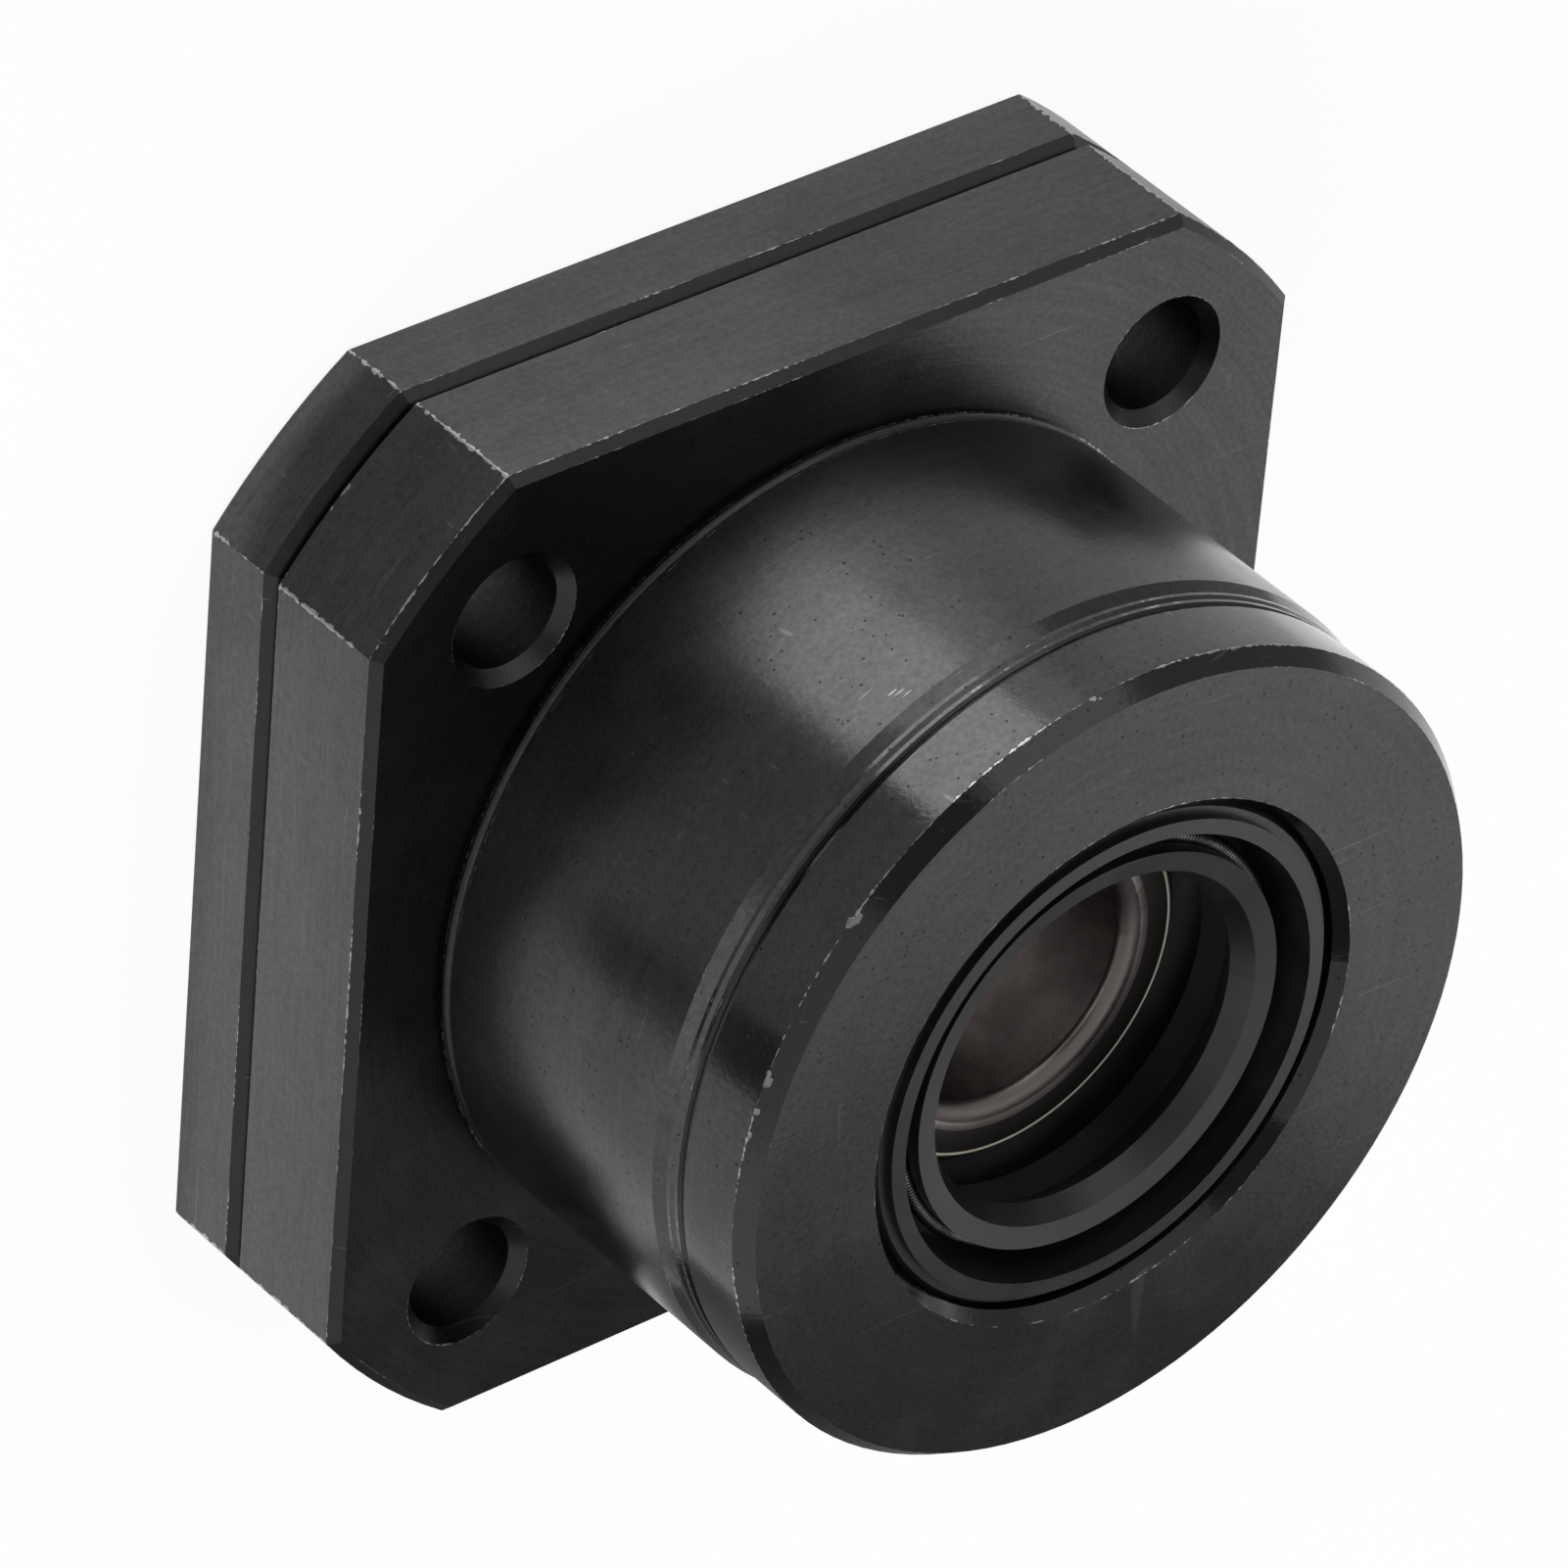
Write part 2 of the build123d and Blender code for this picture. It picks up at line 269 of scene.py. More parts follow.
def makeHandling():
    tree, given, out = newGroup(
        "handling",
        [("Position", vectorSocket, None),
         ("Pit Scale", floatSocket, 1300.0), ("Pit Amount", floatSocket, 0.45)],
        [("Pits", floatSocket), ("Scratches", floatSocket), ("Smudges", floatSocket)],
    )
    cells = tree.nodes.new("ShaderNodeTexVoronoi")
    tree.links.new(given["Position"], cells.inputs["Vector"])
    tree.links.new(given["Pit Scale"], cells.inputs["Scale"])
    chosen = calc(tree, "LESS_THAN", splitXyz(tree, cells.outputs["Color"])[0], given["Pit Amount"])
    size = calc(tree, "MULTIPLY", splitXyz(tree, cells.outputs["Color"])[1], handMarks["pitSize"])
    pits = remap(tree, calc(tree, "SUBTRACT", size, cells.outputs["Distance"]), 0.0, handMarks["pitEdge"])
    tree.links.new(calc(tree, "MULTIPLY", pits, chosen), out["Pits"])
    lines = None
    for turn, stretch in handMarks["scratches"]:
        turned = tree.nodes.new("ShaderNodeMapping")
        tree.links.new(given["Position"], turned.inputs["Vector"])
        turned.inputs["Rotation"].default_value = turn
        turned.inputs["Scale"].default_value = stretch
        streaks = noise(tree, turned.outputs[0], 1.0, 1.0)
        scratch = remap(tree, streaks, handMarks["scratchFrom"], handMarks["scratchTo"])
        lines = scratch if lines is None else calc(tree, "MAXIMUM", lines, scratch)
    tree.links.new(lines, out["Scratches"])
    tree.links.new(noise(tree, given["Position"], handMarks["smudgeScale"], 3.0, 0.62), out["Smudges"])
    return tree


toolMarks = makeToolMarks()
wearPattern = makeWearPattern()
edgeWear = makeEdgeWear()
nick = makeNick()
handling = makeHandling()
print("shader groups made")


def startMaterial(name):
    material = bpy.data.materials.new(name)
    material.use_nodes = True
    tree = material.node_tree
    shader = tree.nodes["Principled BSDF"]
    spots = tree.nodes.new("ShaderNodeTexCoord")
    return material, tree, shader, spots.outputs["Object"], spots.outputs["Normal"]


def bump(tree, height, strength, distance, before=None):
    made = tree.nodes.new("ShaderNodeBump")
    made.inputs["Strength"].default_value = strength
    made.inputs["Distance"].default_value = distance
    feed(tree, height, made.inputs["Height"])
    if before is not None:
        tree.links.new(before, made.inputs["Normal"])
    return made.outputs[0]


# black oxide steel of the housing and the lid
blackOxide = {
    "tone": (0.069, 0.069, 0.071, 1),
    "pale": (0.081, 0.080, 0.080, 1),
    "brown": (0.048, 0.045, 0.045, 1),
    "bare": (0.50, 0.48, 0.46, 1),
    "pit": (0.01, 0.01, 0.01, 1),
    "scratch": (0.2, 0.2, 0.2, 1),
    # painted shade for the gap beside the lid
    "paintedGapShade": (0.003, 0.003, 0.003, 1),
    "brownShare": 0.85,        # on chamfers
    "bareShare": 0.8,
    "dentShare": 0.45,
    "scratchShare": 0.3,
    "paintedGapShadeShare": 0.9,
    "flatRoughness": 0.34,     # milled sides
    "faceRoughness": 0.27,     # plate faces and the nose
    "rootRoughness": 0.42,     # boss beside the flange
    "turnedRoughness": 0.22,   # boss higher up
    "landRoughness": 0.14,
    "smudgeRoughness": 0.07,   # these three are added
    "wornRoughness": 0.1,
    "chamferRoughness": -0.03,
    "speckleScale": 4300.0,
    "speckleTone": 0.6,
    "broadTone": 0.24,
    "flatFineTone": 0.43,
    "bossFineTone": 0.05,
    "pitScale": 2800.0,
    "pitAmount": 0.85,
    "pitShare": 0.6,
    "flatPits": 0.15,          # how much of the pits shows on the flats
    "bossSpeckle": 0.8,
    "bossLines": 0.4,
    "pitDepth": 6.0,           # depths are parts of the relief's distance
    "dentDepth": 4.0,
    "reliefStrength": 0.5,
    "relief": 0.01 * mm,
    "paintedGapShadeFrom": 3.50 * mm,    # heights between which painted shade turns the chamfer black in the gap beside the lid
    "paintedGapShadeTo": 3.62 * mm,
    "gapTop": 4.05 * mm,
}

# where the plate's sides, corner arcs and holes lie, and the heights of the boss
flats, corners, pocketSpot = 21.0 * mm, 26.0 * mm, 14.849 * mm
boss = {"outside": 17.2 * mm, "root": 9.85 * mm, "smooth": 18.5 * mm, "taper": 22.01 * mm}
chamferSlopes = (0.45, 0.93)   # of the normal's height, between walls and faces

# each edge: the distances it is measured in, where it lies in millimetres, width, amount
housingEdges = (
    ("radius", 16.80, "height", 26.30, 0.038, 0.54),
    ("radius", 16.30, "height", 27.00, 0.020, 0.34),
    ("radius", 10.96, "height", 27.00, 0.026, 0.42),
    # the next four rows, on the boss's edge, the two turned ridges and the land's edge, are bare metal and partly
    # painted highlight along these ridges
    ("radius", 17.00, "height", 22.01, 0.020, 0.26),
    ("radius", 16.84, "height", 22.70, 0.020, 0.34),
    ("radius", 16.77, "height", 23.06, 0.022, 0.38),
    ("radius", 16.80, "height", 23.55, 0.020, 0.26),
    ("radius", 17.05, "height", 9.75, 0.024, 0.50),
    ("radius", 17.00, "height", 10.25, 0.022, 0.42),
    ("inset", 0.0, "height", 9.38, 0.026, 0.50),
    ("corner", 0.0, "height", 9.38, 0.032, 0.78),
    ("inset", 0.37, "height", 9.75, 0.022, 0.34),
    ("inset", 0.0, "height", 4.10, 0.022, 0.24),
    ("corner", 0.0, "side", 0.0, 0.046, 0.62),
    ("hole", 2.75, "height", 9.75, 0.026, 0.34),
)
lidEdges = (
    ("inset", 0.0, "height", 3.20, 0.022, 0.34),
    ("inset", 0.8, "height", 4.00, 0.018, 0.14),
    ("inset", 0.0, "height", 0.15, 0.022, 0.20),
    ("inset", 0.15, "height", 0.00, 0.022, 0.18),
    ("corner", 0.0, "side", 0.0, 0.046, 0.62),
    ("hole", 4.30, "height", 0.00, 0.022, 0.24),
    ("radius", 10.96, "height", 0.00, 0.024, 0.24),
)
# dents and marks on the housing: how often wider than high, then turn in degrees, radius, height and reach
housingNicks = (
    (2.0, ((160.9, 16.74, 26.34, 0.30), (159.9, 16.76, 26.30, 0.22), (165.0, 16.74, 26.34, 0.20),
           (168.3, 16.74, 26.34, 0.16), (138.6, 16.76, 26.28, 0.30), (137.9, 16.70, 26.40, 0.26),
           (98.0, 16.74, 26.32, 0.20), (97.0, 16.70, 26.40, 0.15), (75.5, 16.74, 26.30, 0.18),
           (68.0, 16.74, 26.26, 0.24), (134.8, 25.98, 4.14, 0.28), (136.6, 25.98, 4.14, 0.14))),
    (11.0, ((113.9, 17.00, 21.06, 0.40), (113.6, 17.00, 21.26, 0.34), (113.1, 17.00, 21.52, 0.36))),
)


def plateDistances(tree, position):
    x, y, z = splitXyz(tree, position)
    across = calc(tree, "ABSOLUTE", x)
    along = calc(tree, "ABSOLUTE", y)
    radius = lengthOf(tree, x, y)
    side = calc(tree, "SUBTRACT", flats, calc(tree, "MAXIMUM", across, along))
    corner = calc(tree, "SUBTRACT", corners, radius)
    holeX = calc(tree, "SUBTRACT", across, pocketSpot)
    holeY = calc(tree, "SUBTRACT", along, pocketSpot)
    hole = lengthOf(tree, holeX, holeY)
    return {
        "radius": radius, "height": z, "side": side, "corner": corner,
        "inset": calc(tree, "MINIMUM", side, corner), "hole": hole,
    }


def wornEdges(tree, edges, distances, pattern):
    worn = None
    for first, firstEdge, second, secondEdge, width, amount in edges:
        values = {
            "Patches": pattern["Patches"], "Nibbles": pattern["Nibbles"],
            "Across": distances[first], "Edge Across": firstEdge * mm,
            "Height": distances[second], "Edge Height": secondEdge * mm, "Width": width * mm, "Amount": amount,
        }
        mask = useGroup(tree, edgeWear, **values)["Mask"]
        worn = mask if worn is None else calc(tree, "MAXIMUM", worn, mask)
    return worn


def dentedSpots(tree, nicks, position, pattern):
    ragged = calc(tree, "MULTIPLY_ADD", pattern["Nibbles"], 1.6, 0.1)
    dented = None
    for flatness, spots in nicks:
        stretched = tree.nodes.new("ShaderNodeVectorMath")
        stretched.operation = "MULTIPLY"
        tree.links.new(position, stretched.inputs[0])
        stretched.inputs[1].default_value = (1, 1, flatness)
        for turn, radius, height, reach in spots:
            spot = (radius * cos(radians(turn)) * mm, radius * sin(radians(turn)) * mm, height * flatness * mm)
            values = {"Position": stretched.outputs[0], "Ragged": ragged, "Spot": spot, "Reach": reach * mm}
            mask = useGroup(tree, nick, **values)["Mask"]
            dented = mask if dented is None else calc(tree, "MAXIMUM", dented, mask)
    return dented


def makeBlackOxide(name, edges, nicks, seed, fineLines, lineDepth):
    material, tree, shader, position, normal = startMaterial(name)
    steel = blackOxide
    shifted = tree.nodes.new("ShaderNodeMapping")
    tree.links.new(position, shifted.inputs["Vector"])
    shifted.inputs["Location"].default_value = seed
    moved = shifted.outputs[0]

    # masks
    marks = useGroup(tree, toolMarks, Position=position, Normal=normal, Fine=fineLines, Along=240.0)
    distances = plateDistances(tree, position)
    radius, height = distances["radius"], distances["height"]
    pattern = useGroup(tree, wearPattern, Position=moved)
    worn = wornEdges(tree, edges, distances, pattern)
    dented = dentedSpots(tree, nicks, position, pattern) if nicks else None
    settings = {"Position": moved, "Pit Scale": steel["pitScale"], "Pit Amount": steel["pitAmount"]}
    use = useGroup(tree, handling, **settings)
    slope = calc(tree, "ABSOLUTE", splitXyz(tree, normal)[2])
    ends = calc(tree, "GREATER_THAN", slope, chamferSlopes[1])
    chamfers = calc(tree, "MULTIPLY", calc(tree, "GREATER_THAN", slope, chamferSlopes[0]),
                    calc(tree, "LESS_THAN", slope, chamferSlopes[1]))
    onBoss = calc(tree, "MULTIPLY", calc(tree, "LESS_THAN", radius, boss["outside"]),
                  calc(tree, "GREATER_THAN", height, boss["root"]))
    onLand = calc(tree, "GREATER_THAN", height, boss["taper"])
    pits = calc(tree, "MULTIPLY", use["Pits"],
                calc(tree, "MULTIPLY_ADD", onBoss, 1 - steel["flatPits"], steel["flatPits"]))
    speckle = noise(tree, moved, steel["speckleScale"], 1.0, 0.6)
    # painted shade: the chamfer between these heights, in the gap beside the lid, is turned black
    paintedGapShade = calc(tree, "MULTIPLY", remap(tree, height, steel["paintedGapShadeFrom"], steel["paintedGapShadeTo"]),
                 calc(tree, "LESS_THAN", height, steel["gapTop"]))
    paintedGapShade = calc(tree, "MULTIPLY", paintedGapShade, chamfers)

    # colour: oxide with tool lines, brownish chamfers, painted black shade in the gap beside the lid, pits,
    # scratches and bare edges
    colour = blendColour(tree, remap(tree, use["Smudges"], 0.35, 0.7), steel["tone"], steel["pale"])
    fineTone = calc(tree, "MULTIPLY_ADD", onBoss, steel["bossFineTone"] - steel["flatFineTone"],
                    steel["flatFineTone"])
    lineTone = 1.0
    for grain, share in ((marks["Broad Lines"], steel["broadTone"]), (marks["Fine Lines"], fineTone),
                         (speckle, steel["speckleTone"])):
        lineTone = calc(tree, "MULTIPLY_ADD", calc(tree, "SUBTRACT", grain, 0.5), share, lineTone)
    colour = blendColour(tree, 1.0, colour, vectorOf(tree, lineTone, lineTone, lineTone), "MULTIPLY")
    colour = blendColour(tree, calc(tree, "MULTIPLY", chamfers, steel["brownShare"]), colour, steel["brown"])
    # painted shade blackens the chamfer in the gap beside the lid
    colour = blendColour(tree, calc(tree, "MULTIPLY", paintedGapShade, steel["paintedGapShadeShare"]), colour, steel["paintedGapShade"])
    colour = blendColour(tree, calc(tree, "MULTIPLY", pits, steel["pitShare"]), colour, steel["pit"])
    scratched = calc(tree, "MULTIPLY", use["Scratches"], steel["scratchShare"])
    colour = blendColour(tree, scratched, colour, steel["scratch"])
    # bright bare metal along edges and dents; on the taper's turned ridges it is partly painted highlight
    bright = calc(tree, "MULTIPLY", worn, steel["bareShare"])
    if dented is not None:
        bright = calc(tree, "MAXIMUM", bright, calc(tree, "MULTIPLY", dented, steel["dentShare"]))
    colour = blendColour(tree, bright, colour, steel["bare"])
    tree.links.new(colour, shader.inputs["Base Color"])
    shader.inputs["Metallic"].default_value = 1.0

    # roughness: the boss gets smoother from its root to its land
    turned = remap(tree, height, boss["root"], boss["smooth"], steel["rootRoughness"], steel["turnedRoughness"])
    turned = calc(tree, "MULTIPLY_ADD", onLand, steel["landRoughness"] - steel["turnedRoughness"], turned)
    rough = calc(tree, "MULTIPLY_ADD", onBoss, calc(tree, "SUBTRACT", turned, steel["flatRoughness"]),
                 steel["flatRoughness"])
    rough = calc(tree, "MULTIPLY_ADD", ends, calc(tree, "SUBTRACT", steel["faceRoughness"], rough), rough)
    for mask, added in ((remap(tree, use["Smudges"], 0.4, 0.75), "smudgeRoughness"), (worn, "wornRoughness"),
                        (chamfers, "chamferRoughness")):
        rough = calc(tree, "MULTIPLY_ADD", mask, steel[added], rough)
    tree.links.new(rough, shader.inputs["Roughness"])

    # relief
    bossLines = calc(tree, "MULTIPLY_ADD", onBoss, (steel["bossLines"] - 1) * lineDepth, lineDepth)
    lines = calc(tree, "MULTIPLY", marks["Fine Lines"], bossLines)
    specks = calc(tree, "MULTIPLY_ADD", onBoss, steel["bossSpeckle"] - 1, 1.0)
    relief = calc(tree, "MULTIPLY_ADD", speckle, specks, lines)
    relief = calc(tree, "MULTIPLY_ADD", pits, -steel["pitDepth"], relief)
    if dented is not None:
        relief = calc(tree, "SUBTRACT", relief, calc(tree, "MULTIPLY", dented, steel["dentDepth"]))
    tree.links.new(bump(tree, relief, steel["reliefStrength"], steel["relief"]), shader.inputs["Normal"])
    return material


# blacker and glossier steel of the lid screws
screwSteel = {
    "tone": (0.040, 0.040, 0.042, 1),
    "pale": (0.058, 0.057, 0.057, 1),
    "roughness": 0.28,
    "pitDepth": 3.0,
}


def makeScrewSteel():
    material, tree, shader, position, normal = startMaterial("screwSteel")
    cloudy = noise(tree, position, 700.0, 3.0, 0.6)
    colour = blendColour(tree, remap(tree, cloudy, 0.35, 0.7), screwSteel["tone"], screwSteel["pale"])
    use = useGroup(tree, handling, **{"Position": position, "Pit Scale": blackOxide["pitScale"]})
    scratched = calc(tree, "MULTIPLY", use["Scratches"], blackOxide["scratchShare"])
    colour = blendColour(tree, scratched, colour, blackOxide["scratch"])
    tree.links.new(colour, shader.inputs["Base Color"])
    shader.inputs["Metallic"].default_value = 1.0
    tree.links.new(remap(tree, cloudy, 0.3, 0.7, screwSteel["roughness"], screwSteel["roughness"] + 0.12),
                   shader.inputs["Roughness"])
    speckle = noise(tree, position, blackOxide["speckleScale"], 1.0, 0.6)
    grain = calc(tree, "MULTIPLY_ADD", use["Pits"], -screwSteel["pitDepth"], speckle)
    tree.links.new(bump(tree, grain, blackOxide["reliefStrength"], blackOxide["relief"]), shader.inputs["Normal"])
    return material


# rubber of the lip seals
rubber = {"tone": (0.006, 0.006, 0.006, 1), "pale": (0.010, 0.010, 0.010, 1), "roughness": 0.30}


def makeRubber():
    material, tree, shader, position, normal = startMaterial("sealRubber")
    cloudy = noise(tree, position, 420.0, 4.0, 0.6)
    marks = useGroup(tree, toolMarks, Position=position, Normal=normal, Fine=5200.0)
    colour = blendColour(tree, remap(tree, cloudy, 0.35, 0.7), rubber["tone"], rubber["pale"])
    tree.links.new(colour, shader.inputs["Base Color"])
    tree.links.new(remap(tree, cloudy, 0.3, 0.7, rubber["roughness"], rubber["roughness"] + 0.1),
                   shader.inputs["Roughness"])
    grain = calc(tree, "ADD", marks["Broad Lines"], noise(tree, position, 5200.0, 2.0))
    tree.links.new(bump(tree, grain, 0.1, 0.01 * mm), shader.inputs["Normal"])
    return material


# oiled steel of the bearing rings: ground bores, a painted dark reflection on the roundings, dull side faces, and
# painted highlights on a band above the rounding and along the outer edge
ringSteel = {
    "tone": (0.42, 0.39, 0.38, 1),
    "oil": (0.25, 0.22, 0.215, 1),
    # painted dark reflection on the rounding from the bore
    "rounding": (0.16, 0.14, 0.135, 1),
    # painted highlight on the band between the rounding and the side face
    "rim": (0.80, 0.72, 0.69, 1),
    "face": (0.15, 0.135, 0.13, 1),
    # painted highlight, a yellowish line along the ring's edge at about 7 mm radius
    "edge": (0.85, 0.82, 0.66, 1),
    "roughness": 0.24,
    "faceRoughness": 0.45,
    "boreRadius": 5.02 * mm,   # the rounding leads from the bore to the side face
    "rimRadius": 5.70 * mm,
    "faceRadius": 6.05 * mm,
    "edgeFrom": 6.97 * mm,
    "edgeTo": 7.10 * mm,
    "edgeHeight": 0.05 * mm,
}


def makeRingSteel():
    material, tree, shader, position, normal = startMaterial("bearingSteel")
    cloudy = noise(tree, position, 300.0, 5.0, 0.6)
    marks = useGroup(tree, toolMarks, Position=position, Normal=normal, Fine=9000.0)
    x, y, z = splitXyz(tree, position)
    radius = lengthOf(tree, x, y)
    slope = calc(tree, "ABSOLUTE", splitXyz(tree, normal)[2])
    inside = calc(tree, "LESS_THAN", radius, ringSteel["faceRadius"])
    onRoundingReflection = remap(tree, radius, ringSteel["boreRadius"], ringSteel["boreRadius"] + 0.08 * mm)
    onRimHighlight = remap(tree, radius, ringSteel["rimRadius"], ringSteel["rimRadius"] + 0.1 * mm)
    flat = calc(tree, "GREATER_THAN", slope, 0.97)
    onFace = calc(tree, "MULTIPLY", flat, calc(tree, "SUBTRACT", 1.0, inside))
    onEdgeHighlight = calc(tree, "MULTIPLY", calc(tree, "GREATER_THAN", radius, ringSteel["edgeFrom"]),
                  calc(tree, "LESS_THAN", radius, ringSteel["edgeTo"] + 0.2 * mm))
    onEdgeHighlight = calc(tree, "MULTIPLY", onEdgeHighlight, calc(tree, "GREATER_THAN", slope, 0.3))
    colour = blendColour(tree, remap(tree, cloudy, 0.4, 0.66), ringSteel["tone"], ringSteel["oil"])
    # painted dark reflection on the rounding
    colour = blendColour(tree, calc(tree, "MULTIPLY", onRoundingReflection, inside), colour, ringSteel["rounding"])
    # painted highlight band above the rounding
    colour = blendColour(tree, calc(tree, "MULTIPLY", onRimHighlight, inside), colour, ringSteel["rim"])
    colour = blendColour(tree, onFace, colour, ringSteel["face"])
    # painted highlight along the outer edge
    colour = blendColour(tree, onEdgeHighlight, colour, ringSteel["edge"])
    tree.links.new(colour, shader.inputs["Base Color"])
    shader.inputs["Metallic"].default_value = 1.0
    rough = remap(tree, cloudy, 0.3, 0.7, ringSteel["roughness"], ringSteel["roughness"] + 0.12)
    dull = calc(tree, "MULTIPLY", calc(tree, "MAXIMUM", onFace, onEdgeHighlight), ringSteel["faceRoughness"])
    tree.links.new(calc(tree, "MAXIMUM", rough, dull), shader.inputs["Roughness"])
    rise = remap(tree, radius, ringSteel["edgeFrom"], ringSteel["edgeTo"])
    lip = bump(tree, rise, 1.0, ringSteel["edgeHeight"])
    tree.links.new(bump(tree, marks["Fine Lines"], 0.08, 0.01 * mm, lip), shader.inputs["Normal"])
    return material


# polished balls
ballSteel = {"tone": (0.66, 0.66, 0.65, 1), "pale": (0.72, 0.72, 0.71, 1), "roughness": (0.05, 0.1)}


def makeBallSteel():
    material, tree, shader, position, normal = startMaterial("ballSteel")
    cloudy = noise(tree, position, 800.0, 3.0)
    colour = blendColour(tree, remap(tree, cloudy, 0.3, 0.7), ballSteel["tone"], ballSteel["pale"])
    tree.links.new(colour, shader.inputs["Base Color"])
    shader.inputs["Metallic"].default_value = 1.0
    tree.links.new(remap(tree, cloudy, 0.3, 0.7, *ballSteel["roughness"]), shader.inputs["Roughness"])
    return material


# moulded black plastic of the cages
cagePlastic = {"tone": (0.024, 0.024, 0.025, 1), "pale": (0.034, 0.034, 0.035, 1), "roughness": (0.42, 0.55)}


def makeCagePlastic():
    material, tree, shader, position, normal = startMaterial("cagePlastic")
    cloudy = noise(tree, position, 500.0, 4.0)
    colour = blendColour(tree, remap(tree, cloudy, 0.3, 0.7), cagePlastic["tone"], cagePlastic["pale"])
    tree.links.new(colour, shader.inputs["Base Color"])
    tree.links.new(remap(tree, cloudy, 0.3, 0.7, *cagePlastic["roughness"]), shader.inputs["Roughness"])
    tree.links.new(bump(tree, noise(tree, position, 6000.0), 0.1, 0.01 * mm), shader.inputs["Normal"])
    return material


# oiled wire of the garter springs
springWire = {"tone": (0.24, 0.23, 0.22, 1), "oil": (0.12, 0.11, 0.10, 1), "roughness": (0.28, 0.40)}


def makeSpringWire():
    material, tree, shader, position, normal = startMaterial("springWire")
    cloudy = noise(tree, position, 900.0, 3.0)
    colour = blendColour(tree, remap(tree, cloudy, 0.35, 0.7), springWire["tone"], springWire["oil"])
    tree.links.new(colour, shader.inputs["Base Color"])
    shader.inputs["Metallic"].default_value = 1.0
    tree.links.new(remap(tree, cloudy, 0.3, 0.7, *springWire["roughness"]), shader.inputs["Roughness"])
    return material


finishes = {
    "housing": makeBlackOxide("housingSteel", housingEdges, housingNicks, (0, 0, 0), 7000.0, 0.6),
    "lid_screw": makeScrewSteel(),
    "lid": makeBlackOxide("lidSteel", lidEdges, (), (0.07, 0.03, 0.05), 9000.0, 0.3),
    "seal": makeRubber(),
    "ring": makeRingSteel(),
    "ball": makeBallSteel(),
    "cage": makeCagePlastic(),
    "spring": makeSpringWire(),
}
for name, part in nodes.items():
    for word, material in finishes.items():
        if name.startswith(word) or "_" + word in name:
            for place in part.material_slots:
                place.material = material
            break
print("finishes given")


# the garter springs, a closed coil of fine wire lying on a ring round each seal's lip
garterCoil = {
    "turns": 316,
    "steps": 10,
    "wire": 0.14 * mm,
    "coil": 0.70 * mm,
    "ring": 8.41 * mm,
    "roundness": 1,
}


def makeGarterCoil(name, node, body):
    low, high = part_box(node)
    height = (low.z + high.z) / 2
    line = bpy.data.curves.new(name, "CURVE")
    line.dimensions = "3D"
    line.bevel_depth = garterCoil["wire"] / 2
    line.bevel_resolution = garterCoil["roundness"]
    reach = (garterCoil["coil"] - garterCoil["wire"]) / 2
    count = garterCoil["turns"] * garterCoil["steps"]
    run = line.splines.new("POLY")
    run.points.add(count - 1)
    run.use_cyclic_u = True
    for number, point in enumerate(run.points):
        winding = 2 * pi * number / garterCoil["steps"]
        around = 2 * pi * number / count
        out = garterCoil["ring"] + reach * cos(winding)
        point.co = (out * cos(around), out * sin(around), height + reach * sin(winding), 1)
    run.use_smooth = True
    piece = bpy.data.objects.new(name, line)
    bpy.context.scene.collection.objects.link(piece)
    line.materials.append(finishes["spring"])
    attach(piece, body)
    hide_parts(node)


for end in ("front", "rear"):
    makeGarterCoil(end + "GarterCoil", end + "_garter_spring", "housing")
print("garter coils wound")


